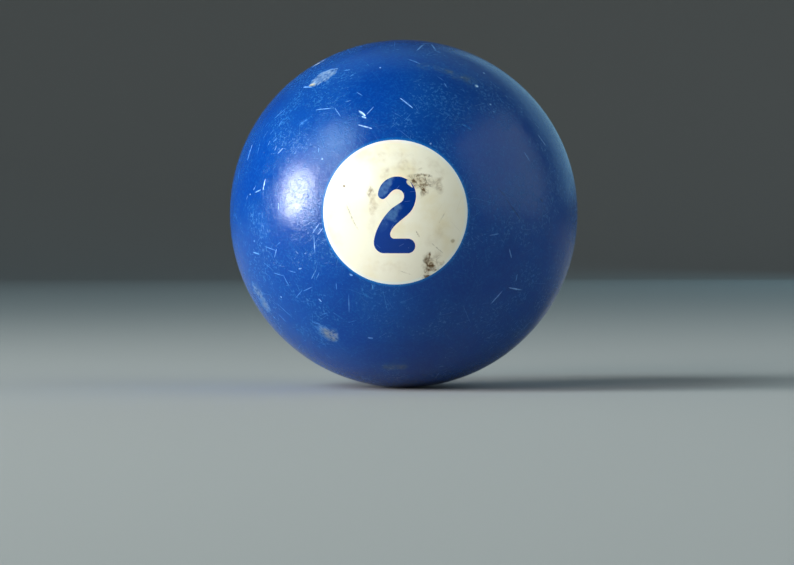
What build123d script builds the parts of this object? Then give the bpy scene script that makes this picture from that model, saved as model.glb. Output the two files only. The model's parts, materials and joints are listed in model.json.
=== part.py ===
from build123d import *
import os
from math import cos, radians, sin

# Numbered pool ball: a cast blue resin ball, ground as one sphere, with an ivory resin
# disc let into each of two opposite sides and a blue resin numeral let into each disc.
# Millimetres. +Z is up, the origin is the ball's centre, and the numbers face -Y and +Y.

# ---- driving dimensions ----
ball_diameter = 57.15        # a regulation pool ball, 2 1/4 inches
disc_diameter = 22.6         # the ivory disc across its edge, on the ball's surface
disc_depth = 9.0             # ball's surface to the floor of the disc's pocket
disc_corner = 0.8            # rounding the round-nosed cutter leaves at that floor
numeral_height = 11.92       # top of the bowl to the underside of the foot
numeral_width = 6.58         # heel to the right side of the bowl
numeral_depth = 4.0          # ball's surface to the floor of the numeral's pocket
numeral_drop = 0.44          # the numeral's middle is this far below the disc's
numeral_shift = 0.05         # and this far to its right
bowl_outer_radius = 2.97     # outside of the numeral's round top stroke
bowl_inner_radius = 1.11     # inside of the same stroke
bowl_inner_drop = 0.12       # the inside circle sits this far below the outside one
slant_thickness = 2.3        # the slanting stroke, measured across it
slant_heading = 220          # the way that stroke runs, in degrees from the right
foot_thickness = 2.27        # the numeral's flat bottom stroke
foot_setback = 0.14          # the foot ends this far short of the bowl's right side
heel_radius = 1.6            # outside corner where the slanting stroke meets the foot
crotch_radius = 0.64         # inside corner where the slanting stroke meets the foot
waist_width = 2.55           # the slanting stroke just above the foot, measured level

slant_right_of_middle = 0.54 # a point the slanting stroke passes through, from the
slant_above_middle = 0.32    # numeral's middle
clearance = 5.0              # how far outside the ball the cutters start

# where the bowl's two circles begin and end, in degrees from the right
tip_turn = 175
outer_leaves = -8
inner_leaves = -55
inner_starts = 122
inner_passes = 30            # a turn between those two, so the arc goes the long way round

# the open end of the top stroke, in stroke widths right of and below its outer corner
tip_inside_right = 0.865
tip_inside_below = 0.1
tip_bottom_right = 0.4
tip_bottom_below = 0.425

# how hard the slanting stroke's two sides hold their direction where they start and end
right_side_pull = (1.4, 0.8)
left_side_pull = (0.7, 1.0)

# ---- worked out from them ----
ball_radius = ball_diameter / 2
disc_radius = disc_diameter / 2
clear_of_ball = ball_radius + clearance
numeral_top = numeral_height / 2 - numeral_drop
numeral_bottom = -numeral_height / 2 - numeral_drop
numeral_left = numeral_shift - numeral_width / 2
numeral_right = numeral_shift + numeral_width / 2


def ball_blank():
    """The ball before any pocket is cut: one plain sphere."""
    return Sphere(radius=ball_radius)


def disc_cutter():
    """A round cutter pointing at the centre from the front, its nose's corner rounded."""
    length = clear_of_ball - (ball_radius - disc_depth)
    cutter = Cylinder(
        radius=disc_radius,
        height=length,
        align=(Align.CENTER, Align.CENTER, Align.MIN),
    )
    nose = cutter.edges().sort_by(Axis.Z)[0]
    cutter = fillet(nose, radius=disc_corner)
    front = Plane(origin=(0, disc_depth - ball_radius, 0), x_dir=(1, 0, 0), z_dir=(0, -1, 0))
    return front.location * cutter


def on_circle(centre, radius, degrees):
    """A point on a circle, counted anticlockwise from the right."""
    turn = radians(degrees)
    return Vector(centre.X + radius * cos(turn), centre.Y + radius * sin(turn))


def heading(degrees):
    """The direction of travel at this angle, anticlockwise from the right."""
    return Vector(cos(radians(degrees)), sin(radians(degrees)))


def numeral_outline():
    """The numeral 2 seen from the front, x to the right and y up, round-ended strokes."""
    bowl = Vector(numeral_right - bowl_outer_radius, numeral_top - bowl_outer_radius)
    bowl_inside = Vector(bowl.X, bowl.Y - bowl_inner_drop)
    stroke = bowl_outer_radius - bowl_inner_radius
    foot_top = numeral_bottom + foot_thickness
    foot_radius = foot_thickness / 2

    # the round top stroke, from its open left end over the top to the right side
    outer_start = on_circle(bowl, bowl_outer_radius, tip_turn)
    outer_top = on_circle(bowl, bowl_outer_radius, 90)
    outer_end = on_circle(bowl, bowl_outer_radius, outer_leaves)
    inner_start = on_circle(bowl_inside, bowl_inner_radius, inner_starts)
    inner_side = on_circle(bowl_inside, bowl_inner_radius, inner_passes)
    inner_end = on_circle(bowl_inside, bowl_inner_radius, inner_leaves)
    tip_inside = outer_start + Vector(tip_inside_right, -tip_inside_below) * stroke
    tip_bottom = outer_start + Vector(tip_bottom_right, -tip_bottom_below) * stroke

    # the slanting stroke down to the heel, and the foot
    across = heading(slant_heading - 90) * (slant_thickness / 2)
    slant_middle = Vector(
        numeral_shift + slant_right_of_middle,
        slant_above_middle - numeral_drop,
    )
    slant_left = slant_middle + across
    slant_right = slant_middle - across
    crotch_start = Vector(numeral_left + waist_width, foot_top + crotch_radius)
    crotch_end = Vector(crotch_start.X + crotch_radius, foot_top)
    foot_end = Vector(numeral_right - foot_setback - foot_radius, numeral_bottom)
    heel_start = Vector(numeral_left + heel_radius, numeral_bottom)
    heel_end = Vector(numeral_left, numeral_bottom + heel_radius)

    with BuildLine() as outline:
        ThreePointArc(outer_start, outer_top, outer_end)
        Spline(
            outer_end,
            slant_right,
            crotch_start,
            tangents=(heading(outer_leaves - 90), heading(-90)),
            tangent_scalars=right_side_pull,
        )
        TangentArc(crotch_start, crotch_end, tangent=heading(-90))
        Line(crotch_end, (foot_end.X, foot_top))
        ThreePointArc(
            (foot_end.X, foot_top),
            (foot_end.X + foot_radius, numeral_bottom + foot_radius),
            foot_end,
        )
        Line(foot_end, heel_start)
        TangentArc(heel_start, heel_end, tangent=heading(180))
        Spline(
            heel_end,
            slant_left,
            inner_end,
            tangents=(heading(90), heading(inner_leaves + 90)),
            tangent_scalars=left_side_pull,
        )
        ThreePointArc(inner_end, inner_side, inner_start)
        Spline(
            inner_start,
            tip_inside,
            tip_bottom,
            outer_start,
            tangents=(heading(inner_starts + 90), heading(tip_turn - 90)),
        )
    return outline.wire()


def numeral_cutter():
    """The numeral's outline run straight into the ball from the front, with a flat floor."""
    floor = Plane(
        origin=(0, numeral_depth - ball_radius, 0),
        x_dir=(1, 0, 0),
        z_dir=(0, -1, 0),
    )
    face = make_face(floor.location * numeral_outline())
    return extrude(face, amount=clear_of_ball - (ball_radius - numeral_depth), dir=(0, -1, 0))


def turned_to_back(shape):
    """The same piece on the opposite side, reading the right way up from there."""
    return shape.rotate(Axis.Z, 180)


def ball_body():
    """The blue ball with its two blind round pockets, turned about the line through them."""
    blank = ball_blank().rotate(Axis.X, 90)
    return blank - disc_cutter() - turned_to_back(disc_cutter())


def number_disc():
    """The ivory plug that fills a pocket, ground with the ball, with the numeral's pocket."""
    return (ball_blank() & disc_cutter()) - numeral_cutter()


def numeral():
    """The blue inlay that fills the numeral's pocket, its face ground with the ball."""
    return ball_blank() & numeral_cutter()


def write(shape, node):
    """One STEP file per piece, holding one closed solid."""
    solids = shape.solids()
    assert len(solids) == 1, node
    solid = solids[0]
    solid.label = node
    export_step(solid, f"parts/{node}.step")
    print(node, round(solid.volume, 1), "mm3")


os.makedirs("parts", exist_ok=True)
front_disc = number_disc()
front_number = numeral()
write(ball_body(), "ball_body")
write(front_disc, "front_number_disc")
write(turned_to_back(front_disc), "back_number_disc")
write(front_number, "front_numeral")
write(turned_to_back(front_number), "back_numeral")
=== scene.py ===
# %% [markdown]
# # A worn pool ball with the number 2
# The real ball is cast from blue resin, with an ivory plug let into each of two opposite
# sides and a blue numeral let into each plug. Then the whole thing is ground and polished
# as one sphere. Its solids are already modelled, so they are loaded first. They are the
# frame: every piece made here goes exactly where a solid is.

# %% Load the solids
import json
import random
from functools import partial
from math import asin, cos, degrees, pi, radians, sin, sqrt, tan

import bpy
import numpy as np
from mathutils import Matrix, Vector, noise


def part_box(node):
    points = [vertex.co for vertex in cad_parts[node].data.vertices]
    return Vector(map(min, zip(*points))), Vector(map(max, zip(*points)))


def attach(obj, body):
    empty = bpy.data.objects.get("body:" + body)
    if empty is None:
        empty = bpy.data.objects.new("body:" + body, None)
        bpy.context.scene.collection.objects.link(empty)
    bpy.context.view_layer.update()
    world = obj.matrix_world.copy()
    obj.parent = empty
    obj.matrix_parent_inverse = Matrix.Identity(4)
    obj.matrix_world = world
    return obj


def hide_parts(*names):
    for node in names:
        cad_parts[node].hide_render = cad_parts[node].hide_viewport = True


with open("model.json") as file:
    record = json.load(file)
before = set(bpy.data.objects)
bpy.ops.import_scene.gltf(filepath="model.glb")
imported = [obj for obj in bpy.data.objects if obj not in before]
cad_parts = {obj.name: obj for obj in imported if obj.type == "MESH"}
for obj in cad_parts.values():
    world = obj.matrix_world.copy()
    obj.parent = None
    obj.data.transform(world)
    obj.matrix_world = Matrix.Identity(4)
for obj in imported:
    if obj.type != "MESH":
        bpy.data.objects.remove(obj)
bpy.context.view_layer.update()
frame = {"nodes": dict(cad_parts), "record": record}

print("solids:", sorted(frame["nodes"]))

# %% [markdown]
# ## Sizes
# The main sizes aren't typed in again. The ball's radius is how far its centre is above the
# point it rests on. The disc's radius and the floor of its pocket come from the disc's solid.

# %% Measure the frame
MM = 0.001
rest_point = next(m for m in frame["record"]["mounts"] if m["name"] == "rest_point")
ball_radius = -rest_point["pos_m"][2]
disc_low, disc_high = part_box("front_number_disc")
disc_radius = (disc_high.x - disc_low.x) / 2
rim_y = sqrt(ball_radius**2 - disc_radius**2)      # centre to the plane of the disc's edge
pocket_floor_y = -disc_high.y                      # centre to the floor of its pocket
FRONT = -1      # the side that a piece is on: the front one faces -Y
BACK = 1
print(f"ball {2 * ball_radius / MM:.2f} mm, disc {2 * disc_radius / MM:.2f} mm across")

# %% [markdown]
# ## Small helpers
# Operators act on whatever is selected, and loading leaves the solids selected, so every
# step begins by deselecting everything. Faces are then picked in code, by their place.


# %% Helpers for selecting and editing
FLAT_FACE_SAG = 0.05 * MM       # how far a flat face's middle may lie under the round skin


def deselect_all():
    if bpy.context.mode != "OBJECT":
        bpy.ops.object.mode_set(mode="OBJECT")
    bpy.ops.object.select_all(action="DESELECT")


def work_on(piece):
    """Make this piece the only one selected."""
    deselect_all()
    piece.select_set(True)
    bpy.context.view_layer.objects.active = piece


def edit_all(piece):
    """Enter edit mode with the whole of this piece selected."""
    work_on(piece)
    bpy.ops.object.mode_set(mode="EDIT")
    bpy.ops.mesh.select_all(action="SELECT")


def rows_of(items, what):
    """Three numbers of each item, such as a place, as an array with one row each."""
    flat = np.empty(len(items) * 3)
    items.foreach_get(what, flat)
    return flat.reshape(-1, 3)


def points_of(mesh):
    return rows_of(mesh.vertices, "co")


def put_points(mesh, points):
    mesh.vertices.foreach_set("co", points.astype(np.float32).ravel())
    mesh.update()


def pick_faces(piece, chosen):
    """Enter edit mode with just these faces selected."""
    work_on(piece)
    bpy.ops.object.mode_set(mode="EDIT")
    bpy.ops.mesh.select_mode(type="FACE")
    bpy.ops.mesh.select_all(action="DESELECT")
    bpy.ops.object.mode_set(mode="OBJECT")
    piece.data.polygons.foreach_set("select", chosen)
    bpy.ops.object.mode_set(mode="EDIT")


def from_centre(points):
    """How far each point is from the ball's centre."""
    return np.linalg.norm(points, axis=1)


def directions(points):
    return points / from_centre(points)[:, None]


def near_skin(points, depth):
    """Which points are less than this far under the ball's surface."""
    return from_centre(points) > ball_radius - depth


def press_to_sphere(piece):
    """Move every corner of the outer skin exactly onto the ball's radius."""
    points = points_of(piece.data)
    skin = near_skin(points, FLAT_FACE_SAG)
    points[skin] *= (ball_radius / from_centre(points[skin]))[:, None]
    put_points(piece.data, points)


print("helpers ready")

# %% [markdown]
# ## The blue ball
# On the real ball the two round pockets are cut into one sphere. A sphere primitive has
# two poles where its faces bunch up. Here it is turned so that the poles lie where the
# pockets go: cutting the pockets removes them, and the rest is a clean turned skin.

# %% Model the ball with its two pockets
SEGMENTS = 192
RINGS = 96
SKIN_STEP = pi * ball_radius / RINGS        # length of a skin face along the ball
POCKET_CORNER = 0.8 * MM                    # rounding at the pocket's floor
CORNER_FACES = 3                            # faces across that rounding
pocket_depth = rim_y - pocket_floor_y


def turned_sphere(name):
    """A sphere with its poles to the front and the back."""
    deselect_all()
    bpy.ops.mesh.primitive_uv_sphere_add(
        segments=SEGMENTS,
        ring_count=RINGS,
        radius=ball_radius,
        rotation=(pi / 2, 0, 0),
    )
    bpy.ops.object.transform_apply(location=False, rotation=True, scale=False)
    piece = bpy.context.object
    piece.name = name
    piece.data.name = name
    return piece


def slice_and_sink(piece, side, keep_cap):
    """Cut straight across where the disc's edge goes, and keep the cap or the rest.

    Then run the round edge inward, close its floor and round the corner. That makes a plug
    behind the cap, or a pocket in the rest.
    """
    edit_all(piece)
    bpy.ops.mesh.select_mode(type="EDGE")
    bpy.ops.mesh.bisect(
        plane_co=(0, side * rim_y, 0),
        plane_no=(0, side, 0),
        clear_inner=keep_cap,
        clear_outer=not keep_cap,
    )
    inward = (0, -side * pocket_depth, 0)
    bpy.ops.mesh.extrude_region_move(TRANSFORM_OT_translate={"value": inward})
    bpy.ops.mesh.edge_face_add()
    bpy.ops.mesh.bevel(offset=POCKET_CORNER, segments=CORNER_FACES, affect="EDGES")
    bpy.ops.mesh.select_all(action="SELECT")
    bpy.ops.mesh.normals_make_consistent(inside=False)
    bpy.ops.object.mode_set(mode="OBJECT")
    press_to_sphere(piece)


ball = turned_sphere("blue_ball")
slice_and_sink(ball, FRONT, keep_cap=False)
slice_and_sink(ball, BACK, keep_cap=False)
print("blue ball:", len(ball.data.polygons), "faces")

# %% [markdown]
# ## Wear marks
# A used ball is covered in marks: fine scratches from chalk dust and grit, small pits,
# dull scuffs, and a few chips where it was dropped. Each mark is placed as if with a
# protractor: degrees round to the right of the front number, then degrees up. Its length
# runs along a slant, where 0 is level to the right and 90 is straight up. Lengths and
# widths are in millimetres. "pale" is how much paler the mark is than sound resin, and is
# below 0 for a mark that looks darker. "tan" is how much old tan dirt has settled in it.

# %% The marks that matter
SCRATCH_DEPTH = 0.22        # as a share of its width
PIT_DEPTH = 0.25
PIT_TAN = 0.15


def patch(kind, around, up, length, slant, width, depth, pale, tan, bend=0.0):
    return dict(kind=kind, around=around, up=up, length=length * MM, slant=slant,
                width=width * MM, depth=depth * MM, pale=pale, tan=tan, bend=bend)


def scratch(around, up, length, slant, width, pale, bend=0.0):
    depth = SCRATCH_DEPTH * width
    return patch("scratch", around, up, length, slant, width, depth, pale, 0.0, bend)


def pit(around, up, width, pale=0.8):
    return patch("pit", around, up, width, 0, width, PIT_DEPTH * width, pale, PIT_TAN)


# scratches: around, up, length, slant, width, pale, and bend where there is one
upper_left = [
    (-47, 45, 2.3, -3, 0.42, 0.55),
    (-30, 35, 2.8, 3, 0.18, 0.65, 0.04),
    (-23, 33.5, 2.2, -46, 0.18, 0.6, -0.05),
    (-13, 33, 1.7, -40, 0.42, 1.0),
    (-12, 31.5, 0.9, -25, 0.3, 0.9),
    (-10, 34, 1.8, 58, 0.18, 0.7),
    (-11, 28, 2.5, -17, 0.26, 0.95),
    (4, 37, 2.9, -46, 0.24, 0.95),
    (-54, 34, 3.0, 46, 0.17, 0.45),
    (-50, 30, 1.2, -80, 0.24, 0.5),
    (-53, 27, 1.3, 60, 0.16, 0.35),
    (-57, 26, 1.5, 75, 0.16, 0.32),
    (-52, 23, 0.8, 80, 0.18, 0.38),
    (-49, 24, 0.9, 65, 0.16, 0.32),
    (-60, 30, 1.2, 70, 0.16, 0.3),
    (-65, 20, 2.8, -84, 0.55, 0.42),
    (-58, 21, 2.2, -75, 0.16, 0.3),
    (-44, 20, 1.4, 48, 0.3, 0.4),
    (-47, 21, 0.8, 75, 0.24, 0.38),
    (-29, 53, 1.2, 12, 0.24, 0.5),
    (-24, 50, 0.9, 60, 0.18, 0.4),
    (-71, 13, 2.0, -60, 0.2, 0.45),
    (-20, 38, 1.0, 20, 0.15, 0.4),
    (-16, 41, 1.4, -35, 0.15, 0.35),
    (-27, 20, 0.8, -85, 0.18, 0.5),
]
left = [
    (-49, 9, 1.9, -98, 0.26, 0.85),
    (-52, 7, 1.6, 14, 0.22, 0.8),
    (-54.5, 8, 1.0, 48, 0.2, 0.6),
    (-59, 5, 0.8, 60, 0.2, 0.5),
    (-41, 2, 1.1, -86, 0.24, 0.75),
    (-26, -5, 2.1, 50, 0.18, 0.7),
    (-24.5, -6, 1.5, 46, 0.16, 0.6),
    (-27, -10, 3.1, -92, 0.18, 0.6),
    (-55, -13, 2.0, -9, 0.2, 0.6),
    (-44, -13, 1.7, 58, 0.2, 0.6),
    (-46, -11.5, 2.6, -14, 0.15, 0.5),
    (-42, -10, 1.2, 30, 0.15, 0.4),
    (-34, -18, 0.7, 12, 0.24, 0.7),
    (-29, -20, 2.0, 52, 0.18, 0.45),
    (-27.5, -20.5, 1.6, 55, 0.15, 0.35),
    (-42, -22, 2.2, -72, 0.16, 0.45),
    (-45, -20, 2.3, -12, 0.16, 0.45),
    (-38, -19, 1.6, -17, 0.16, 0.5, 0.12),
    (-50, -17, 2.2, -30, 0.14, 0.4),
    (-55, -36, 2.0, -60, 0.25, 0.4),
    (-50, -33, 3.4, -50, 0.14, 0.4),
]
below = [
    (-21, -24, 1.2, 84, 0.16, 0.4),
    (-17.5, -30, 3.4, 80, 0.16, 0.45),
    (-29, -29, 0.7, -55, 0.22, 0.85),
    (-15, -20, 0.6, -30, 0.36, 0.6),
    (-23, -35, 2.4, -45, 0.3, 0.2, 0.1),
    (-18, -37, 1.8, 15, 0.2, 0.2, 0.1),
    (-29, -34, 1.3, 20, 0.2, 0.3, -0.15),
    (-12, -44, 0.9, -5, 0.34, 0.5),
    (-35, -38, 1.3, -14, 0.2, 0.5),
    (-8, -24, 1.0, -85, 0.2, 0.35),
    (-38, -27, 2.6, 35, 0.14, 0.4),
    (-33, -25, 2.2, 20, 0.14, 0.4),
]
right = [
    (9, 58, 2.6, -40, 0.24, 0.5),
    (19, 70, 4.2, 63, 0.26, 0.7, -0.1),
    (33, 74.7, 2.2, 16, 0.26, 0.7),
    (33.5, 70.6, 3.8, 68, 0.26, 0.65, 0.08),
    (30.5, 66, 1.5, -65, 0.24, 0.6),
    (22, 45, 1.2, -80, 0.2, 0.4),
    (21, 48, 1.6, -60, 0.16, 0.35, 0.2),
    (26, 28, 2.1, -36, 0.42, 0.25),
    (61, 24, 2.4, -58, 0.28, 0.75),
    (49, 18, 1.8, -62, 0.22, 0.6),
    (33, -7, 1.8, 9, 0.2, 0.4),
    (40, -13, 1.8, -64, 0.22, 0.6),
    (45, -21, 1.2, -85, 0.24, 0.6),
    (46, -25, 3.2, -8, 0.24, 0.8),
    (38.5, -28, 2.9, 58, 0.2, 0.75),
    (40, 1, 4.4, -46, 0.16, -0.8, -0.06),
    (36, 6, 2.6, -40, 0.12, -0.6),
    (53, 4, 0.8, -45, 0.2, -0.8),
]
# pits: around, up, width, and pale where it isn't 0.8
pits = [
    (-10, 54, 0.26),
    (50, 52, 0.4, 0.7),
    (38, 45, 0.6, 1.0),
    (40, 37, 0.34),
    (40, 34, 0.28, 0.6),
    (12, 22, 0.3, 0.7),
    (-55, -9, 0.26, 0.6),
    (-62, -36, 0.34, 0.6),
    (-48, -28, 0.3, 0.8),
    (-57, 6, 0.28, 0.6),
    (-25, 17, 0.3, 0.8),
]
# patches: kind, around, up, length, slant, width, depth, pale, tan
patches = [
    ("chip", -41, 50, 5.2, 62, 4.2, 0.14, 0.5, 0.5),
    ("chip", -45, 46.3, 1.4, 20, 0.9, 0.12, 1.0, 1.0),
    ("chip", -69, 59.5, 2.8, 74, 1.4, 0.20, 1.0, 0.95),
    ("scuff", -32, -42, 4.6, -45, 4.2, 0.02, 0.48, 1.0),
    ("scuff", -64, -28.5, 6.4, -72, 5.0, 0.02, 0.4, 0.6),
    ("scuff", 17, 54.5, 4.6, -8, 2.4, 0.01, 0.10, 1.0),
    ("scuff", 25, 52.5, 3.8, -16, 2.2, 0.01, 0.10, 1.0),
    ("scuff", 33, 49, 6.0, -24, 3.0, 0.01, 0.12, 1.0),
    ("scuff", 66, -41, 5.4, 70, 3.0, 0.01, 0.2, 0.5),
    ("haze_and_reflection", -49, -4, 5.0, -60, 3.6, 0.0, 0.035, 0.0),
    ("scuff", -37, 30, 2.0, 38, 1.1, 0.01, 0.3, 0.0),
    ("scuff", -3, -60, 5.0, 5, 3.0, 0.01, 0.14, 0.8),
]
marks = [scratch(*row) for row in upper_left + left + below + right]
marks += [pit(*row) for row in pits]
marks += [patch(*row) for row in patches]
print(len(marks), "marks placed by hand")

# %% [markdown]
# The sides, the top, the underneath and the back of the ball took the same knocks. Those
# marks are scattered by a seeded draw, so they fall in the same places on every run.

# %% Scatter marks over the rest of the ball
WEAR_SEED = 22
FRONT_ZONE = 84         # up to this many degrees from the front number, marks are listed one by one
BACK_DISC_ZONE = 27     # no blue within this many degrees of the back number, with a margin
draw = random.Random(WEAR_SEED)


def from_front(around, up):
    """Degrees between this place and the front number."""
    return degrees(np.arccos(cos(radians(around)) * cos(radians(up))))


def scattered(make, count, **ranges):
    """Draw places all over the ball, and make a mark at those outside the two zones.

    Each range is the least and the most of one of the mark's values, drawn in this order.
    """
    kept = []
    while len(kept) < count:
        around = draw.uniform(-180, 180)
        up = degrees(asin(draw.uniform(-1, 1)))
        if FRONT_ZONE < from_front(around, up) < 180 - BACK_DISC_ZONE:
            values = {name: draw.uniform(*ends) for name, ends in ranges.items()}
            kept.append(make(around=around, up=up, **values))
    return kept


chip = partial(patch, "chip")
scuff = partial(patch, "scuff", depth=0.03)
marks += scattered(scratch, 54, length=(0.8, 3.4), slant=(0, 180), width=(0.12, 0.26),
                   pale=(0.3, 0.9), bend=(-0.08, 0.08))
marks += scattered(pit, 12, width=(0.18, 0.4), pale=(0.4, 1.0))
marks += scattered(chip, 4, length=(2.0, 4.0), slant=(0, 180), width=(0.9, 1.6),
                   depth=(0.1, 0.18), pale=(0.8, 1.0), tan=(0.3, 0.9))
marks += scattered(scuff, 5, length=(3.0, 8.0), slant=(0, 180), width=(1.2, 2.2),
                   pale=(0.25, 0.6), tan=(0.1, 0.8))
print(len(marks), "marks in all")

# %% [markdown]
# A scratch is far narrower than a face of the skin, so the skin is made finer just where a
# mark runs: the faces near it are subdivided, and again, until they are narrow enough. Doing
# this everywhere would cost millions of faces. Broad soft marks need fewer rounds.


# %% Make the skin finer along each mark
ROUNDS = {"scratch": 4, "pit": 4, "chip": 3, "scuff": 3, "smudge": 2, "stain": 3, "haze_and_reflection": 3}
REACH_BESIDE = 0.6      # how far beside a mark faces are divided, in widths of a face
FAR_AWAY = 1.0          # metres: the far side of the ball is never in a mark


def spot(around, up):
    """The direction from the ball's centre to a place on it."""
    a = radians(around)
    u = radians(up)
    return np.array((sin(a) * cos(u), -cos(a) * cos(u), sin(u)))


def along_and_across(mark, points):
    """How far each point is along a mark from its middle, and to its side, in metres."""
    middle = spot(mark["around"], mark["up"])
    level = np.cross((0.0, 0.0, 1.0), middle)
    level /= np.linalg.norm(level)
    rising = np.cross(middle, level)
    turn = radians(mark["slant"])
    run = cos(turn) * level + sin(turn) * rising
    side = np.cross(middle, run)
    unit = directions(points)
    out = unit @ middle
    along = ball_radius * np.arctan2(unit @ run, out)
    across = ball_radius * np.arcsin(np.clip(unit @ side, -1, 1))
    across = across - mark["bend"] * along * np.abs(along) / (0.5 * mark["length"])
    behind = out < 0
    along[behind] = FAR_AWAY
    across[behind] = FAR_AWAY
    return along, across


def refine_skin(piece, marks):
    """Rounds of subdividing, each only near the marks that need it."""
    for level in range(max(ROUNDS.values())):
        reach = REACH_BESIDE * SKIN_STEP / 2**level
        middles = rows_of(piece.data.polygons, "center")
        skin = near_skin(middles, FLAT_FACE_SAG)
        chosen = np.zeros(len(middles), dtype=bool)
        for mark in marks:
            if ROUNDS[mark["kind"]] > level:
                along, across = along_and_across(mark, middles)
                near = np.abs(along) < mark["length"] / 2 + reach
                near &= np.abs(across) < mark["width"] / 2 + reach
                chosen |= near
        pick_faces(piece, chosen & skin)
        bpy.ops.mesh.subdivide(number_cuts=1)
        bpy.ops.object.mode_set(mode="OBJECT")
        press_to_sphere(piece)
    print(piece.name, "now has", len(piece.data.polygons), "faces")


refine_skin(ball, marks)

# %% [markdown]
# ## Press the marks in
# Most marks are real hollows. A scratch is a shallow V that runs out at both ends, with a
# slight burr. A pit is a small round bowl. A chip is a shell-shaped flake. A scuff is many
# fine grooves side by side. Smudges, stains and haze have little depth or none: a smudge is
# soft, a stain has a wandering edge, and haze is an even oval. Each sum gives how deep, how
# pale and how tan a point is, as shares of the mark's own depth, paleness and tan.
#
# In each sum, t runs from 0 at the mark's middle to 1 at its ends, s from 0 on its centre
# line to 1 at its side, and r from 0 in the middle of an oval to 1 on its edge.


# %% The shape of each kind of mark
TINY = 1e-9             # keeps a width from being 0 where it is divided by
GROOVE = 0.07 * MM      # a scuff's grooves: 2 pi of these from one to the next


def wobble(points, lumps, seed):
    """Smooth random numbers from -1 to 1, one per point, with this many lumps in a metre."""
    return np.array([noise.noise(Vector(p) * lumps + Vector((seed, 0, 0))) for p in points])


def towards_end(mark, along):
    return np.clip(np.abs(along) / (0.5 * mark["length"]), 0, 1)


def towards_edge(mark, along, across):
    return np.hypot(along / (0.5 * mark["length"]), across / (0.5 * mark["width"]))


def scratch_shape(mark, along, across, points, seed):
    t = towards_end(mark, along)
    half_width = 0.5 * mark["width"] * np.sqrt(1 - t**2) + TINY
    s = np.abs(across) / half_width
    inside = np.clip(1.6 - 1.2 * s, 0, 1) * (t < 1)
    burr = np.exp(-((s - 1.35) ** 2) * 6) * (t < 0.98)
    broken = 0.8 + 0.5 * wobble(points, 2500, seed)
    return np.clip(1 - s, 0, 1) - 0.12 * burr, inside * broken, 0 * inside


def pit_shape(mark, along, across, points, seed):
    r = np.hypot(along, across) / (0.5 * mark["width"])
    inside = np.clip(1.8 - 1.3 * r, 0, 1)
    return np.clip(1 - r**2, 0, 1), inside, inside


def chip_shape(mark, along, across, points, seed):
    t = towards_end(mark, along)
    edge = wobble(points, 700, seed)
    fine = wobble(points, 2600, seed + 7)
    lean = 1 - 0.35 * along / (0.5 * mark["length"])
    half_width = 0.5 * mark["width"] * lean * (1 - t**2) ** 0.6 * (1 + 0.5 * edge) + TINY
    s = np.abs(across) / half_width
    inside = np.clip((1 - s) * 4, 0, 1) * (t < 1)
    shell = np.clip(1 - s**2, 0, 1) ** 0.6
    ragged = np.clip(0.75 + 1.1 * fine, 0.1, 1.4)
    return inside * shell * (0.75 + 0.4 * fine), inside * ragged, inside


def scuff_shape(mark, along, across, points, seed):
    t = towards_end(mark, along)
    edge = wobble(points, 600, seed)
    fine = wobble(points, 2200, seed + 7)
    groove = np.sin(across / GROOVE + 5 * edge)
    half_width = 0.5 * mark["width"] * (1 - t**2) ** 0.5 * (1 + 0.5 * edge) + TINY
    s = np.abs(across) / half_width
    inside = np.clip((1 - s) * 1.2, 0, 1) * np.clip((1 - t) * 3, 0, 1)
    pale = inside * np.clip(0.6 + 1.0 * fine + 0.25 * groove, 0, 1.5)
    tan_share = inside * np.clip(0.7 + 1.0 * edge + 0.6 * fine, 0, 1.3)
    return inside * (0.5 + 0.5 * groove), pale, tan_share


def smudge_shape(mark, along, across, points, seed):
    r = towards_edge(mark, along, across)
    patchy = np.clip(0.75 + 1.3 * wobble(points, 600, seed), 0, 1.5)
    inside = np.clip(1.2 * (1 - r**2), 0, 1) * patchy
    return inside, inside, inside


def stain_shape(mark, along, across, points, seed):
    along = along + 0.3 * mark["width"] * wobble(points, 700, seed)
    across = across + 0.4 * mark["width"] * wobble(points, 900, seed + 5)
    r = towards_edge(mark, along, across)
    patchy = np.clip(0.8 + 0.9 * wobble(points, 1700, seed + 9), 0, 1.3)
    inside = np.clip(1.7 * (1 - r), 0, 1) * patchy
    return inside, inside, inside


def haze_shape(mark, along, across, points, seed):
    r = towards_edge(mark, along, across)
    inside = np.clip(2.5 * (1 - r**2 + 0.3 * wobble(points, 800, seed)), 0, 1)
    return 0 * inside, inside, inside


SEED_STEP = 3.7         # moves each mark to its own part of the noise
SIDE_MARGIN = 0.4 * MM  # burrs and wandering edges reach this far past a mark's own size
SHAPES = {"scratch": scratch_shape, "pit": pit_shape, "chip": chip_shape, "scuff": scuff_shape,
          "smudge": smudge_shape, "stain": stain_shape, "haze_and_reflection": haze_shape}


def total_effect(marks, points):
    """Depth, paleness and tan share of all marks together, at each point."""
    sunk = np.zeros(len(points))
    pale = np.zeros(len(points))
    tan_share = np.zeros(len(points))
    for number, mark in enumerate(marks):
        along, across = along_and_across(mark, points)
        close = np.abs(along) < mark["length"] / 2 + SIDE_MARGIN
        close &= np.abs(across) < mark["width"] + SIDE_MARGIN
        near = np.nonzero(close)[0]
        if len(near):
            shape = SHAPES[mark["kind"]]
            seed = SEED_STEP * number
            deep, light, warm = shape(mark, along[near], across[near], points[near], seed)
            sunk[near] += mark["depth"] * deep
            light = mark["pale"] * light
            pale[near] = np.where(np.abs(light) > np.abs(pale[near]), light, pale[near])
            tan_share[near] = np.maximum(tan_share[near], mark["tan"] * warm)
    return sunk, pale, tan_share


print("kinds of mark:", ", ".join(SHAPES))
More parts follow.
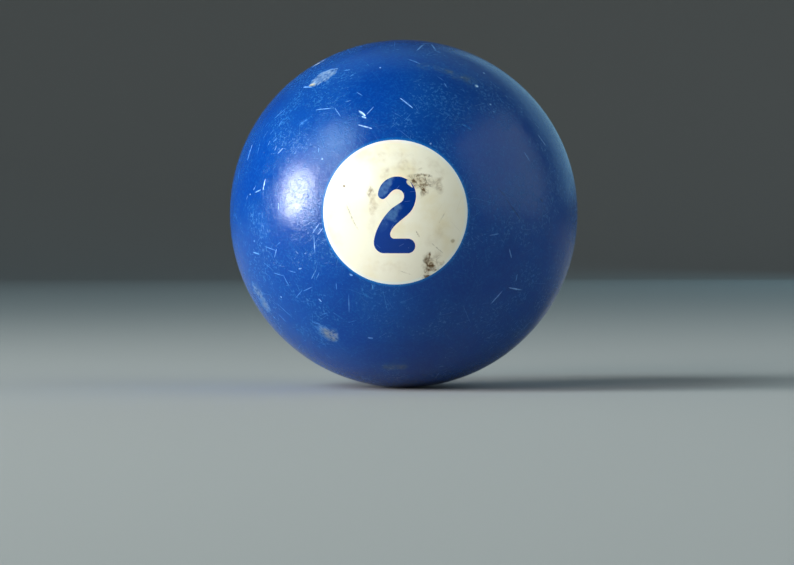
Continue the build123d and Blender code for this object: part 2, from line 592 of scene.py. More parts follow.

# %% [markdown]
# The depth moves the skin, and fades out at the joint between ball and disc, so the two
# pieces still meet without a gap. What a mark looks like is stored on the skin as a colour,
# which the materials read: paleness is its red, tan its green, and darkness, a paleness
# below 0, its blue. On the numerals most of that paleness is a painted reflection.


# %% Sink the skin and store the wear
EDGE_FADE = 0.3 * MM            # the depth fades out over this far beside the joint
DEEPEST = 0.4 * MM              # deeper points belong to a pocket or to a piece's inside
UNTOUCHED = 0.0005 * MM         # a point this near the ball's radius is in no hollow
SMOOTH_BELOW = radians(40)      # a sharper turn between two faces shows as an edge
SKIN_FACING = radians(25)       # the skin's faces look outwards to within this angle


def press_marks(piece, marks):
    points = points_of(piece.data)
    sunk, _, _ = total_effect(marks, points)
    fade = np.clip(np.abs(np.abs(points[:, 1]) - rim_y) / EDGE_FADE, 0, 1)
    points -= directions(points) * (sunk * fade * near_skin(points, DEEPEST))[:, None]
    put_points(piece.data, points)
    print(piece.name, "deepest mark", round(float(sunk.max()) / MM, 3), "mm")


def store_wear_and_reflection(piece, marks):
    points = points_of(piece.data)
    _, pale, tan_share = total_effect(marks, points)
    skin = near_skin(points, DEEPEST)
    values = np.zeros((len(points), 4), dtype=np.float32)
    values[:, 0] = np.clip(pale, 0, 1) * skin
    values[:, 1] = np.clip(tan_share, 0, 1) * skin
    values[:, 2] = np.clip(-pale, 0, 1) * skin
    values[:, 3] = 1
    stored = piece.data.color_attributes.new("wear_and_reflection", "FLOAT_COLOR", "POINT")
    stored.data.foreach_set("color", values.ravel())


def polish(piece):
    """Smooth shading, with the untouched skin shaded as the exact sphere it is."""
    work_on(piece)
    bpy.ops.object.shade_smooth_by_angle(angle=SMOOTH_BELOW)
    mesh = piece.data
    normals = rows_of(mesh.corner_normals, "vector")
    corner_point = np.empty(len(mesh.loops), dtype=np.int64)
    mesh.loops.foreach_get("vertex_index", corner_point)
    places = points_of(mesh)[corner_point]
    outward = directions(places)
    facing_out = np.einsum("ij,ij->i", normals, outward) > cos(SKIN_FACING)
    exact = near_skin(places, UNTOUCHED) & facing_out
    normals[exact] = outward[exact]
    mesh.normals_split_custom_set(normals)


press_marks(ball, marks)
store_wear_and_reflection(ball, marks)
polish(ball)
triangles = sum(len(face.vertices) - 2 for face in ball.data.polygons)
print("blue ball:", triangles, "triangles")

# %% [markdown]
# ## The ivory discs
# A disc is a plug cut from the same sphere, so its face carries on the ball's curve. It is
# made just as the pocket was: the other side of the same cut, run inward by the same depth,
# with the same rounded floor edge. The two touch all the way round and no light gets in.


# %% Model a disc blank
def disc_blank(name, side):
    """The cap of the ball with a round plug behind it."""
    piece = turned_sphere(name)
    slice_and_sink(piece, side, keep_cap=True)
    return piece


front_disc = disc_blank("front_ivory_disc", FRONT)
back_disc = disc_blank("back_ivory_disc", BACK)
print("disc blanks:", len(front_disc.data.polygons), "faces each")

# %% [markdown]
# Dirt has worked into the front disc: a brown web to the right of the numeral's top, a dark
# brown stain near the foot of the disc, a few fine lines and specks, and faint clouds. Here
# a place on a disc is given in millimetres from its centre, across and up, as it looks from
# outside. The sixth number is how dark the mark is. The numeral has no dirt, so there it is
# below 0: a painted reflection, paler than the resin, and one real crumb. The back disc has
# marks of the same kinds.


# %% Marks on the discs
def on_disc(side, x, z):
    """Degrees round and up of a place on a disc."""
    up = asin(z * MM / ball_radius)
    around = asin(x * MM / (ball_radius * cos(up)))
    return degrees(around) + (180 if side == BACK else 0), degrees(up)


def disc_marks(side, kind, rows):
    """Marks of one kind on one side's disc."""
    made = []
    for x, z, length, slant, width, dirt_and_reflection, tan, depth in rows:
        around, up = on_disc(side, x, z)
        made.append(patch(kind, around, up, length, slant, width, depth, -dirt_and_reflection, tan))
    return made


# each row: x, z, length, slant, width, darkness, tan, depth
front_marks = disc_marks(FRONT, "stain", [
    (4.0, 4.5, 4.6, -25, 3.4, 0.55, 0.6, 0.008),
    (3.2, 5.7, 3.0, 8, 0.7, 0.95, 0.5, 0.015),
    (5.0, 5.7, 1.8, -22, 0.6, 0.7, 0.5, 0.01),
    (3.0, 4.8, 2.4, -45, 0.9, 0.9, 0.6, 0.01),
    (4.4, 3.6, 2.4, -55, 0.9, 0.85, 0.6, 0.01),
    (5.4, 4.3, 2.0, -20, 0.8, 0.7, 0.6, 0.01),
    (6.5, 4.5, 3.4, -25, 2.4, 0.18, 0.7, 0.003),
    (5.1, -8.4, 4.4, 94, 1.6, 1.0, 1.0, 0.02),
    (5.5, -8.6, 2.2, 20, 1.5, 1.0, 1.0, 0.02),
    (4.9, -10.0, 1.7, 10, 0.9, 0.85, 1.0, 0.01),
    (6.1, -9.0, 1.8, -5, 0.7, 0.7, 1.0, 0.01),
    (5.35, -6.8, 1.7, 75, 0.6, 0.8, 0.9, 0.01),
    (5.9, -7.7, 4.4, 60, 3.2, 0.24, 0.9, 0.005),
    (-3.8, 3.4, 2.6, 95, 1.1, 0.38, 1.0, 0),
    (-3.5, 1.5, 4.8, 97, 1.5, 0.10, 1.0, 0),
    (-1.6, 6.2, 2.6, 70, 1.4, 0.04, 0.5, 0),
    (1.6, 7.5, 5.5, -6, 3.4, 0.03, 0.4, 0),
    (6.2, 7.0, 5.5, -45, 2.6, 0.02, 0.3, 0),
    (-2.6, 8.6, 4.0, 10, 2.2, 0.02, 0.35, 0),
])
front_marks += disc_marks(FRONT, "smudge", [
    (-3.6, -1.6, 3.8, 80, 1.6, 0.02, 0.3, 0),
    (6.5, -3.6, 5.0, 45, 2.6, 0.02, 0.3, 0),
])
front_marks += disc_marks(FRONT, "stain", [
    (-0.5, -8.4, 7.0, 0, 2.4, 0, 0.3, 0),
])
front_marks += disc_marks(FRONT, "pit", [
    (-7.9, 4.1, 0.4, 0, 0.4, 0.85, 0.5, 0.08),
    (9.0, -4.5, 0.6, 0, 0.6, 0.2, 1.0, 0.03),
])
front_marks += disc_marks(FRONT, "scratch", [
    (-6.8, -0.6, 3.8, -66, 0.22, 0.42, 0.8, 0.03),
    (-6.0, -2.2, 1.4, -60, 0.18, 0.45, 0, 0.02),
    (3.6, -3.4, 1.2, -60, 0.2, 0.5, 0.4, 0.02),
    (7.4, -0.8, 2.2, 60, 0.16, 0.18, 0, 0.02),
    (1.5, -9.4, 2.4, -20, 0.16, 0.3, 0, 0.02),
    (6.6, -5.6, 2.6, -40, 0.16, 0.3, 0, 0.02),
])
# painted reflections on the front numeral: paler patches at the start of the bowl and along the
# slant, where window panes are mirrored; the crumb after them is real
front_numeral_reflections_and_crumb = disc_marks(FRONT, "stain", [
    (-2.2, 3.5, 4.0, 68, 3.0, -1.0, 0, 0),
    (-1.2, 4.4, 3.0, 40, 2.0, -0.9, 0, 0),
    (-0.4, -0.1, 3.8, 42, 3.0, -1.0, 0, 0),
    (0.3, 0.5, 2.4, 45, 1.8, -0.9, 0, 0),
    (-1.8, -2.0, 3.0, 60, 1.6, -0.3, 0, 0),
])
front_numeral_reflections_and_crumb += disc_marks(FRONT, "chip", [
    (2.35, 4.35, 1.5, -52, 0.6, -1.0, 1.0, 0.06),
])
back_marks = disc_marks(BACK, "stain", [
    (-5.4, 4.6, 5.4, 35, 3.0, 0.45, 0.7, 0.008),
    (-5.0, 5.2, 2.6, 30, 1.0, 0.9, 0.6, 0.01),
    (-6.4, 4.0, 2.2, 60, 0.8, 0.8, 0.6, 0.01),
    (5.6, -5.9, 4.8, -20, 3.0, 0.28, 0.8, 0.005),
    (5.2, -6.1, 2.4, -35, 1.2, 0.95, 1.0, 0.015),
    (0.5, 8.6, 7.0, 4, 2.6, 0.06, 0.5, 0),
    (-5.0, -6.8, 5.5, 60, 2.6, 0.04, 0.4, 0),
])
back_marks += disc_marks(BACK, "smudge", [
    (6.6, 1.0, 5.0, 80, 2.4, 0.03, 0.35, 0),
])
back_marks += disc_marks(BACK, "pit", [
    (7.7, 3.2, 0.45, 0, 0.45, 0.8, 0.5, 0.07),
    (-7.2, -1.6, 0.35, 0, 0.35, 0.6, 0.5, 0.05),
])
back_marks += disc_marks(BACK, "scratch", [
    (5.6, 4.8, 3.6, 38, 0.2, 0.5, 0, 0.03),
    (-6.0, 1.0, 2.8, -62, 0.18, 0.4, 0, 0.02),
])
# painted reflections on the back numeral, like those on the front
back_numeral_reflections = disc_marks(BACK, "stain", [
    (1.2, 3.2, 4.4, 60, 2.6, -0.9, 0, 0),
    (-1.6, -4.0, 3.6, 60, 2.4, -0.8, 0, 0),
])
refine_skin(front_disc, front_marks + front_numeral_reflections_and_crumb)
refine_skin(back_disc, back_marks + back_numeral_reflections)
press_marks(front_disc, front_marks + front_numeral_reflections_and_crumb)
press_marks(back_disc, back_marks + back_numeral_reflections)

# %% [markdown]
# ## The numerals
# The numeral is a piece of its own, let into the disc. Its solid has the right outline, so
# a merged copy of it is the cutter: its outer face is pulled clear of the ball, and then one
# Boolean takes the numeral's shape out of the disc and another keeps only that shape.

# %% Cut the discs and make the numerals
CLEARANCE = 2 * MM              # how far the cutter's outer face stands proud
OUTER_FACE = 0.2 * MM           # the solid's outer face lies within this of the ball's
WELD = 0.001 * MM               # loose corners closer than this are one corner


def numeral_cutter(node_name, side):
    """The numeral's solid as a cutter that stands proud of the disc's face."""
    mesh = frame["nodes"][node_name].data.copy()
    cutter = bpy.data.objects.new("cutter", mesh)
    bpy.context.scene.collection.objects.link(cutter)
    edit_all(cutter)
    bpy.ops.mesh.remove_doubles(threshold=WELD)
    bpy.ops.mesh.customdata_custom_splitnormals_clear()
    bpy.ops.object.mode_set(mode="OBJECT")
    points = points_of(mesh)
    points[near_skin(points, OUTER_FACE), 1] += side * CLEARANCE
    put_points(mesh, points)
    return cutter


def cut_with(piece, cutter, operation):
    """Apply one exact Boolean."""
    work_on(piece)
    boolean = piece.modifiers.new("cut", "BOOLEAN")
    boolean.object = cutter
    boolean.operation = operation
    boolean.solver = "EXACT"
    bpy.ops.object.modifier_apply(modifier="cut")


def let_in_numeral(disc, node_name, side, name):
    """Cut the disc, and return the numeral that fills the cut."""
    cutter = numeral_cutter(node_name, side)
    numeral = bpy.data.objects.new(name, disc.data.copy())
    numeral.data.name = name
    bpy.context.scene.collection.objects.link(numeral)
    cut_with(disc, cutter, "DIFFERENCE")
    cut_with(numeral, cutter, "INTERSECT")
    bpy.data.objects.remove(cutter)
    return numeral


front_numeral = let_in_numeral(front_disc, "front_numeral", FRONT, "front_blue_numeral")
back_numeral = let_in_numeral(back_disc, "back_numeral", BACK, "back_blue_numeral")
inlays = (front_disc, back_disc, front_numeral, back_numeral)
for piece in inlays:
    print(piece.name, len(piece.data.polygons), "faces")

# %% [markdown]
# The numerals get painted reflections: paler patches at the start of the bowl and in the
# middle of the slant. A crumb has broken from the bowl's outer edge. Each piece now
# gets its own marks as a colour, and its shading.

# %% Store the wear and the painted reflections on discs and numerals
store_wear_and_reflection(front_disc, front_marks)
store_wear_and_reflection(back_disc, back_marks)
store_wear_and_reflection(front_numeral, front_numeral_reflections_and_crumb)
store_wear_and_reflection(back_numeral, back_numeral_reflections)
for piece in inlays:
    polish(piece)
print("wear stored on both discs and both numerals")

# %% [markdown]
# ## Building materials from nodes
# A material is a small network of nodes. These helpers add a node, set its values and join
# it to others, so that each finish below reads as a list of what is on the surface.


# %% Node helpers
RESIN_IOR = 1.5
COLUMNS = 9                     # how the nodes are laid out in the editor
COLUMN_WIDTH = 220
ROW_HEIGHT = 280


def add_node(tree, kind, inputs=None, **settings):
    """Add a node with its settings. An input is a number or another node's output."""
    made = tree.nodes.new(kind)
    row, column = divmod(len(tree.nodes), COLUMNS)
    made.location = (COLUMN_WIDTH * column, -ROW_HEIGHT * row)
    for name, value in settings.items():
        setattr(made, name, value)
    for socket, value in (inputs or {}).items():
        if isinstance(value, bpy.types.NodeSocket):
            tree.links.new(value, made.inputs[socket])
        else:
            made.inputs[socket].default_value = value
    return made


def maths(tree, operation, a, b=0.0):
    return add_node(tree, "ShaderNodeMath", {0: a, 1: b}, operation=operation).outputs[0]


def times(tree, a, b):
    return maths(tree, "MULTIPLY", a, b)


def vectors(tree, operation, a, b=(0, 0, 0)):
    made = add_node(tree, "ShaderNodeVectorMath", {0: a, 1: b}, operation=operation)
    return made.outputs["Value" if operation in ("DOT_PRODUCT", "LENGTH") else "Vector"]


def fade(tree, value, zero_at, one_at):
    """0 at one value, 1 at another, and a smooth change between."""
    inputs = {"Value": value, "From Min": zero_at, "From Max": one_at}
    made = add_node(tree, "ShaderNodeMapRange", inputs, interpolation_type="SMOOTHSTEP")
    return made.outputs["Result"]


def clouds(tree, place, size, detail=3.0, roughness=0.55):
    """Smooth random values from 0 to 1 whose lumps are about this size in metres."""
    inputs = {"Vector": place, "Scale": 1 / size, "Detail": detail, "Roughness": roughness}
    return add_node(tree, "ShaderNodeTexNoise", inputs).outputs["Fac"]


def blend(tree, share, colour_a, colour_b):
    """Colour a where the share is 0, colour b where it is 1."""
    made = add_node(tree, "ShaderNodeMix", data_type="RGBA")
    for socket, value in ((0, share), (6, colour_a), (7, colour_b)):
        if isinstance(value, bpy.types.NodeSocket):
            tree.links.new(value, made.inputs[socket])
        else:
            made.inputs[socket].default_value = value if socket == 0 else (*value, 1)
    return made.outputs[2]


def axis_y(tree, place):
    """How far front to back a point is."""
    return add_node(tree, "ShaderNodeSeparateXYZ", {"Vector": place}).outputs["Y"]


def layered(tree, colour, layers):
    """Lay colours over the first in turn. A layer is where it lies, its strength, its colour."""
    for where, strength, layer in layers:
        colour = blend(tree, times(tree, where, strength), colour, layer)
    return colour


def weighted(tree, parts, base=0.0):
    """Each value times its weight, all added up, and the base on top."""
    products = [times(tree, value, weight) for value, weight in parts]
    total = products[0]
    for product in products[1:]:
        total = maths(tree, "ADD", total, product)
    return maths(tree, "ADD", total, base)


def start_material(name):
    """A fresh material, its shader, where each point is, and the stored wear and painted
    reflections.
    """
    material = bpy.data.materials.new(name)
    material.use_nodes = True
    tree = material.node_tree
    shader = tree.nodes["Principled BSDF"]
    place = add_node(tree, "ShaderNodeTexCoord").outputs["Object"]
    stored = add_node(tree, "ShaderNodeAttribute", attribute_name="wear_and_reflection").outputs["Color"]
    wear_and_reflection = add_node(tree, "ShaderNodeSeparateColor", {"Color": stored})
    return material, tree, shader, place, wear_and_reflection.outputs


def finish_resin(tree, shader, colour, roughness, height, relief):
    """Join colour, roughness and bump to the shader. relief is how high a height of 1 is."""
    tree.links.new(colour, shader.inputs["Base Color"])
    tree.links.new(roughness, shader.inputs["Roughness"])
    bump = add_node(tree, "ShaderNodeBump", {"Height": height, "Distance": relief})
    tree.links.new(bump.outputs["Normal"], shader.inputs["Normal"])
    shader.inputs["IOR"].default_value = RESIN_IOR


print("node helpers ready")

# %% [markdown]
# ## Hairlines
# Between the marks the polish is dulled by hundreds of fine lines. A Voronoi texture
# divides space into cells and tells each point its cell's centre and a random colour. The
# random colour picks a direction, and the line is where a point lies close to the plane
# through the centre in that direction. So every cell gets one line, turned its own way.


# %% Hairlines and specks
MIDDLE = (0.5, 0.5, 0.5)        # of a random colour


def one_in_each_cell(tree, place, cell, seed):
    """The way from the cell's centre to this point, and the cell's random colour."""
    moved = vectors(tree, "ADD", place, (seed, 2 * seed, -seed))
    cells = add_node(tree, "ShaderNodeTexVoronoi", {"Vector": moved, "Scale": 1 / cell})
    offset = vectors(tree, "SUBTRACT", moved, cells.outputs["Position"])
    colour = add_node(tree, "ShaderNodeSeparateColor", {"Color": cells.outputs["Color"]})
    return offset, cells.outputs["Color"], colour.outputs


def hairlines(tree, place, cell, width, reach, share, seed):
    """1 on a fine straight line and 0 beside it. share is how many cells have one."""
    offset, colour, parts = one_in_each_cell(tree, place, cell, seed)
    outward = vectors(tree, "NORMALIZE", place)
    leaning = vectors(tree, "SUBTRACT", colour, MIDDLE)
    sideways = vectors(tree, "NORMALIZE", vectors(tree, "CROSS_PRODUCT", leaning, outward))
    run = vectors(tree, "CROSS_PRODUCT", outward, sideways)
    across = maths(tree, "ABSOLUTE", vectors(tree, "DOT_PRODUCT", offset, sideways))
    along = maths(tree, "ABSOLUTE", vectors(tree, "DOT_PRODUCT", offset, run))
    narrow = fade(tree, across, width, 0.3 * width)
    short = fade(tree, along, reach, 0.5 * reach)
    chosen = maths(tree, "LESS_THAN", parts[1], share)
    return times(tree, times(tree, narrow, short), chosen)


def bend_lines(tree, place, size, amount):
    """Push places about smoothly, so that straight lines drawn there come out curved."""
    inputs = {"Vector": place, "Scale": 1 / size, "Detail": 1.0}
    push = add_node(tree, "ShaderNodeTexNoise", inputs).outputs["Color"]
    push = vectors(tree, "SUBTRACT", push, MIDDLE)
    push = vectors(tree, "MULTIPLY", push, (amount, amount, amount))
    return vectors(tree, "ADD", place, push)


def specks(tree, place, cell, radius, share, seed):
    """1 in a small dot and 0 round it."""
    offset, _, parts = one_in_each_cell(tree, place, cell, seed)
    away = vectors(tree, "LENGTH", offset)
    chosen = maths(tree, "LESS_THAN", parts[2], share)
    return times(tree, fade(tree, away, radius, 0.5 * radius), chosen)


print("hairlines and specks ready")

# %% [markdown]
# ## The blue resin
# Deep blue, polished, and a little cloudy. Fine lines and specks catch the light, and a
# dull film lies in patches. Marks show paler broken resin, the tan of old dirt, or a thin
# dark film of grime, and beside the joint the blue turns azure, where light comes back off
# the ivory. Roughness follows the same wear, because a scratched place stops being a mirror.


# %% Blue resin material
DEEP_BLUE = (0.0003, 0.048, 0.27)
SOUND_BLUE = (0.0006, 0.076, 0.36)
FILM_BLUE = (0.04, 0.25, 0.52)
FLECK_BLUE = (0.04, 0.34, 0.72)
LINE_BLUE = (0.10, 0.46, 0.90)
JOINT_AZURE = (0.01, 0.30, 0.70)
LIGHT_SCRATCH = (0.02, 0.38, 0.95)
WHITE_SCRATCH = (0.60, 0.78, 1.0)
TAN_DIRT = (0.46, 0.45, 0.38)
GRIME = (0.06, 0.13, 0.16)
DARK_LINE = (0.001, 0.008, 0.05)
JOINT_WIDTH = 0.22 * MM


def blue_resin():
    material, tree, shader, place, wear_and_reflection = start_material("blue_resin")
    lumps = clouds(tree, place, 14 * MM)
    grain = clouds(tree, place, 0.45 * MM, detail=3.0, roughness=0.65)
    dents = clouds(tree, place, 1.3 * MM, detail=2.0)
    film = fade(tree, clouds(tree, place, 9 * MM, detail=5.0, roughness=0.6), 0.34, 0.70)
    dusty = maths(tree, "ADD", times(tree, film, 0.7), 0.35)
    flecks = times(tree, fade(tree, grain, 0.46, 0.72), dusty)
    bent = bend_lines(tree, place, 3.0 * MM, 0.5 * MM)
    lines = weighted(tree, [        # cell, width, reach, share, seed, then the weight
        (hairlines(tree, place, 6 * MM, 0.06 * MM, 2.4 * MM, 0.35, 0.1), 0.35),
        (hairlines(tree, place, 3 * MM, 0.05 * MM, 1.3 * MM, 0.7, 0.2), 0.30),
        (hairlines(tree, bent, 1.7 * MM, 0.045 * MM, 0.8 * MM, 0.8, 0.3), 0.20),
        (hairlines(tree, bent, 0.9 * MM, 0.035 * MM, 0.35 * MM, 0.8, 0.5), 0.18),
        # cell, radius, share, seed, then the weight
        (specks(tree, place, 1.1 * MM, 0.09 * MM, 0.35, 0.4), 0.7),
        (specks(tree, place, 0.6 * MM, 0.06 * MM, 0.45, 0.6), 0.5),
    ])
    lines = times(tree, lines, dusty)

    front_to_back = maths(tree, "ABSOLUTE", axis_y(tree, place))
    joint = fade(tree, front_to_back, rim_y - JOINT_WIDTH, rim_y)
    fresh = blend(tree, wear_and_reflection["Red"], LIGHT_SCRATCH, WHITE_SCRATCH)
    broken = blend(tree, wear_and_reflection["Green"], fresh, TAN_DIRT)
    grime = times(tree, wear_and_reflection["Green"], fade(tree, wear_and_reflection["Red"], 0.6, 0.0))
    colour = layered(tree, blend(tree, lumps, DEEP_BLUE, SOUND_BLUE), [
        (film, 0.10, FILM_BLUE),
        (flecks, 0.26, FLECK_BLUE),
        (lines, 0.65, LINE_BLUE),
        (joint, 0.45, JOINT_AZURE),
        (grime, 0.45, GRIME),
        (wear_and_reflection["Red"], 1.0, broken),
        (wear_and_reflection["Blue"], 1.0, DARK_LINE),
    ])
    dull = [(film, 0.08), (flecks, 0.10), (lines, 0.30), (wear_and_reflection["Red"], 0.4)]
    roughness = weighted(tree, dull, base=0.165)
    height = weighted(tree, [(lines, -1.2), (flecks, -0.8), (grain, 1.0), (dents, 0.6)])
    finish_resin(tree, shader, colour, roughness, height, relief=0.05 * MM)
    return material


# %% [markdown]
# ## The ivory resin
# Off-white that has yellowed unevenly, with a painted highlight: a bluish-white ring round
# its rim. The dirt is made of two things: where it is comes from the stored wear, and its
# fine curly web comes from noise, taken only where the noise crosses one value, which draws
# contour lines. Under the web lies a thin film of dust, and where dirt is thickest it fills in.


# %% Ivory resin material
IVORY = (0.89, 0.84, 0.70)
YELLOWED = (0.83, 0.74, 0.53)
# painted highlight round the disc's rim
RIM_HIGHLIGHT_WHITE = (0.78, 0.86, 0.92)
TAN_STAIN = (0.48, 0.36, 0.20)
DUST = (0.30, 0.215, 0.115)
GREY_BROWN_DIRT = (0.13, 0.095, 0.05)
BROWN_DIRT = (0.13, 0.065, 0.014)
LINE_GREY = (0.45, 0.40, 0.30)
RIM_HIGHLIGHT_WIDTH = 0.7 * MM


def contour(tree, place, size):
    """A fine curly line, drawn wherever smooth noise crosses its middle value."""
    away = maths(tree, "SUBTRACT", clouds(tree, place, size, detail=2.0), 0.5)
    return fade(tree, maths(tree, "ABSOLUTE", away), 0.045, 0.010)


def ivory_resin():
    material, tree, shader, place, wear_and_reflection = start_material("ivory_resin")
    yellow = fade(tree, clouds(tree, place, 6 * MM, detail=4.0), 0.42, 0.72)
    grain = clouds(tree, place, 0.8 * MM, detail=3.0)
    patchy = fade(tree, clouds(tree, place, 0.6 * MM, detail=5.0, roughness=0.7), 0.36, 0.62)
    web = maths(tree, "MAXIMUM", contour(tree, place, 1.9 * MM), contour(tree, place, 1.0 * MM))
    lines = hairlines(tree, place, 3.2 * MM, 0.06 * MM, 1.3 * MM, share=0.5, seed=0.6)
    lines = times(tree, lines, 0.5)
    # painted highlight: the disc turns bluish white over its outer rim
    from_middle = vectors(tree, "LENGTH", vectors(tree, "MULTIPLY", place, (1, 0, 1)))
    rim_highlight = fade(tree, from_middle, disc_radius - RIM_HIGHLIGHT_WIDTH, disc_radius)

    stain = times(tree, wear_and_reflection["Green"], fade(tree, grain, 0.25, 0.65))
    dust = maths(tree, "ADD", times(tree, patchy, 0.50), 0.22)
    core = times(tree, fade(tree, wear_and_reflection["Blue"], 0.45, 1.0), patchy)
    soil = maths(tree, "MAXIMUM", core, times(tree, wear_and_reflection["Blue"], web))
    soil = maths(tree, "MINIMUM", times(tree, soil, 1.2), 1.0)
    colour = layered(tree, blend(tree, yellow, IVORY, YELLOWED), [
        (rim_highlight, 0.5, RIM_HIGHLIGHT_WHITE),
        (stain, 0.5, TAN_STAIN),
        (wear_and_reflection["Blue"], dust, DUST),
        (soil, 1.0, blend(tree, wear_and_reflection["Green"], GREY_BROWN_DIRT, BROWN_DIRT)),
        (lines, 0.25, LINE_GREY),
    ])
    roughness = weighted(tree, [(soil, 0.4), (lines, 0.2), (yellow, 0.05)], base=0.17)
    height = weighted(tree, [(lines, -1.0), (soil, -0.6), (grain, 0.3)])
    finish_resin(tree, shader, colour, roughness, height, relief=0.012 * MM)
    return material


# %% [markdown]
# ## The numeral's resin
# The same deep blue as the ball, cast into the cut. Its paler grey-blue patches are a
# painted reflection of window panes, and the broken crumb shows the ivory under it.


# %% Numeral resin material
NUMERAL_DEEP = (0.0005, 0.040, 0.25)
NUMERAL_BLUE = (0.001, 0.052, 0.29)
# the colour of the painted reflection on the numeral
PAINTED_REFLECTION_BLUE = (0.085, 0.21, 0.42)
NUMERAL_LINE = (0.25, 0.42, 0.75)
CRUMB_IVORY = (0.72, 0.68, 0.52)


def numeral_resin():
    material, tree, shader, place, wear_and_reflection = start_material("numeral_resin")
    lumps = clouds(tree, place, 4 * MM)
    grain = clouds(tree, place, 0.3 * MM, detail=4.0)
    lines = hairlines(tree, place, 1.6 * MM, 0.06 * MM, 0.6 * MM, share=0.5, seed=0.7)
    # painted reflection: the stored paleness, broken by grain, turns the numeral grey-blue where
    # window panes would be mirrored
    haze_and_reflection = times(tree, wear_and_reflection["Red"], fade(tree, grain, -0.1, 0.65))
    colour = layered(tree, blend(tree, lumps, NUMERAL_DEEP, NUMERAL_BLUE), [
        (haze_and_reflection, 0.85, PAINTED_REFLECTION_BLUE),
        (lines, 0.15, NUMERAL_LINE),
        (fade(tree, wear_and_reflection["Green"], 0.5, 0.8), 1.0, CRUMB_IVORY),
    ])
    roughness = weighted(tree, [(haze_and_reflection, 0.3), (lines, 0.15)], base=0.18)
    height = weighted(tree, [(lines, -1.0), (grain, 0.4)])
    finish_resin(tree, shader, colour, roughness, height, relief=0.01 * MM)
    return material


# %% [markdown]
# ## Join the pieces to the frame
# Each piece rides on the part's one body, stands for the solid in the same place, and takes
# its finish from that solid's slot.

# %% Finish and attach the pieces
finishes = {
    "blue_resin": blue_resin(),
    "ivory_resin": ivory_resin(),
    "numeral_resin": numeral_resin(),
}
stands_for = [
    (ball, "ball_body", "blue_resin"),
    (front_disc, "front_number_disc", "ivory_resin"),
    (back_disc, "back_number_disc", "ivory_resin"),
    (front_numeral, "front_numeral", "numeral_resin"),
    (back_numeral, "back_numeral", "numeral_resin"),
]
for piece, node_name, slot_name in stands_for:
    piece.data.materials.clear()
    piece.data.materials.append(finishes[slot_name])
    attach(piece, "root")
    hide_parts(node_name)
    print(piece.name, "stands for", node_name, "in", slot_name)

# %% [markdown]
# ## The studio
# A wide round floor that curves up into a low wall on every side, so the view is clean from
# any angle. It is pale, plain and matt.

# %% Floor with a curved edge
FLOOR_RADIUS = 1.6
FLOOR_SIDES = 128
COVE_RADIUS = 0.8
COVE_STEPS = 12
COVE_SMOOTH_BELOW = radians(30)
FLOOR_GREY = (0.50, 0.49, 0.475, 1)
FLOOR_ROUGHNESS = 0.9


def round_floor():
    """A disc whose edge is run outwards and up, step by step, round a quarter circle."""
    deselect_all()
    bpy.ops.mesh.primitive_circle_add(
        vertices=FLOOR_SIDES,
        radius=FLOOR_RADIUS,
        fill_type="NGON",
        location=(0, 0, -ball_radius),
    )
    floor = bpy.context.object
    floor.name = "studio_floor"
    edit_all(floor)
    bpy.ops.mesh.region_to_loop()
    reach = FLOOR_RADIUS
    for step in range(1, COVE_STEPS + 1):
        angle = pi / 2 * step / COVE_STEPS
        before = pi / 2 * (step - 1) / COVE_STEPS
        rise = COVE_RADIUS * (cos(before) - cos(angle))
        wider = (FLOOR_RADIUS + COVE_RADIUS * sin(angle)) / reach
        bpy.ops.mesh.extrude_edges_move(TRANSFORM_OT_translate={"value": (0, 0, rise)})
        bpy.ops.transform.resize(value=(wider, wider, 1))
        reach *= wider
    bpy.ops.object.mode_set(mode="OBJECT")
    bpy.ops.object.transform_apply(location=True, rotation=False, scale=False)
    bpy.ops.object.shade_smooth_by_angle(angle=COVE_SMOOTH_BELOW)
    return floor


def floor_material():
    material = bpy.data.materials.new("studio_matt")
    material.use_nodes = True
    shader = material.node_tree.nodes["Principled BSDF"]
    shader.inputs["Base Color"].default_value = FLOOR_GREY
    shader.inputs["Roughness"].default_value = FLOOR_ROUGHNESS
    return material


floor = round_floor()
floor.data.materials.append(floor_material())
print("floor", round(2 * (FLOOR_RADIUS + COVE_RADIUS), 2), "m across")

# %% [markdown]
# ## Light
# A window-like light low on the left makes the broad highlight and models the round form.
# It stands near the floor, so its beam is narrow, or it would burn the floor white. A dimmer
# one beside it softens the highlight's edge. Two smaller ones, up on the left and in front
# on the left, fill in, and a large dim panel on the right gives the long faint reflection
# there. A blue one behind and one above edge the ball, and a weak even sky keeps the shadow
# side from going black.


# %% Lights and sky
WIDE_OPEN = 180             # degrees: a light that shines every way from its face
SKY_COLOUR = (0.85, 0.93, 1.0, 1)
SKY_STRENGTH = 0.07
EXPOSURE = 0.25
GAMMA = 0.86


def soft_light(name, towards, distance, width, height, brightness, colour, spread=WIDE_OPEN):
    """An area light facing the ball. brightness is its glow as the ball sees it.

    A narrow beam squeezes the same energy into less room, so its energy is cut to match.
    """
    half_spread = radians(spread / 2)
    kept_in = 1.0
    if spread < WIDE_OPEN:
        kept_in = 1 - half_spread / tan(half_spread)
    direction = Vector(towards).normalized()
    data = bpy.data.lights.new(name, "AREA")
    data.shape = "RECTANGLE"
    data.size = width
    data.size_y = height
    data.energy = brightness * pi * width * height * kept_in
    data.spread = radians(spread)
    data.color = colour
    lamp = bpy.data.objects.new(name, data)
    lamp.location = direction * distance
    lamp.rotation_euler = direction.to_track_quat("Z", "Y").to_euler()
    lamp.visible_camera = False
    bpy.context.scene.collection.objects.link(lamp)
    return lamp


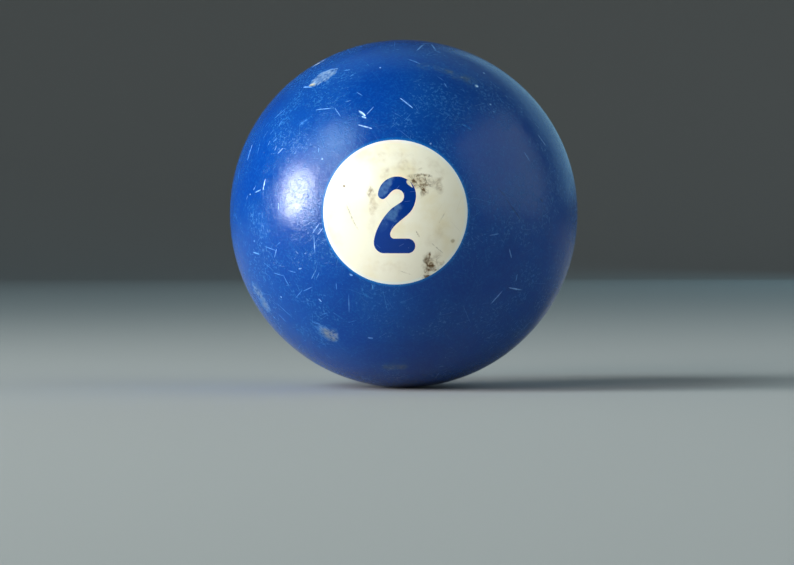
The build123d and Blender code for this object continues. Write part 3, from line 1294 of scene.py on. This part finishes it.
# name, direction from the ball, distance, width, height, brightness, colour
soft_light("window", (-0.93, -0.31, 0.13), 1.15, 0.44, 0.62, 28, (1.0, 1.0, 0.97), spread=50)
soft_light("window_glow", (-0.89, -0.38, 0.26), 1.3, 0.66, 0.70, 3.6, (0.88, 0.95, 1.0), spread=90)
soft_light("upper_left", (-0.62, -0.42, 0.66), 1.2, 0.46, 0.44, 6.2, (0.68, 0.94, 1.0))
soft_light("front_left", (-0.50, -0.78, 0.37), 1.1, 0.46, 0.46, 4.7, (1.0, 0.96, 0.90))
soft_light("right_panel", (0.88, -0.16, 0.42), 1.3, 1.55, 1.2, 0.92, (0.80, 0.92, 0.92))
soft_light("behind", (0.42, 0.88, 0.32), 1.5, 1.1, 0.8, 0.52, (0.40, 0.80, 1.0))
soft_light("above", (0.0, 0.58, 0.82), 1.5, 1.5, 0.8, 0.30, (0.45, 0.82, 1.0))

sky = bpy.data.worlds.new("sky")
sky.use_nodes = True
background = sky.node_tree.nodes["Background"]
background.inputs["Color"].default_value = SKY_COLOUR
background.inputs["Strength"].default_value = SKY_STRENGTH
bpy.context.scene.world = sky
view = bpy.context.scene.view_settings
view.view_transform = "Standard"
view.exposure = EXPOSURE
view.gamma = GAMMA

# %% [markdown]
# ## Camera
# A long lens half a metre away, level with the ball and a few degrees to the right of the
# number. It looks a little below the ball, which puts the ball in the upper middle.

# %% Camera
CAMERA_AROUND = radians(2.87)
CAMERA_UP = radians(-0.58)
CAMERA_DISTANCE = 0.5
LENS = 137.6                # the lens and the sensor it is for, in millimetres
SENSOR_WIDTH = 36
NEAREST = 0.01              # nothing closer to the camera than this is drawn
AIM_BELOW = 11.3 * MM
AIM_LEFT = 1.1 * MM

towards_camera = Vector((
    sin(CAMERA_AROUND) * cos(CAMERA_UP),
    -cos(CAMERA_AROUND) * cos(CAMERA_UP),
    sin(CAMERA_UP),
))
rightwards = Vector((cos(CAMERA_AROUND), sin(CAMERA_AROUND), 0))
aim = -AIM_LEFT * rightwards - AIM_BELOW * Vector((0, 0, 1))
camera_data = bpy.data.cameras.new("camera")
camera_data.lens = LENS
camera_data.sensor_width = SENSOR_WIDTH
camera_data.clip_start = NEAREST
camera = bpy.data.objects.new("camera", camera_data)
camera.location = towards_camera * CAMERA_DISTANCE
camera.rotation_euler = (camera.location - aim).to_track_quat("Z", "Y").to_euler()
bpy.context.scene.collection.objects.link(camera)
bpy.context.scene.camera = camera
print("camera at", [round(c, 3) for c in camera.location])
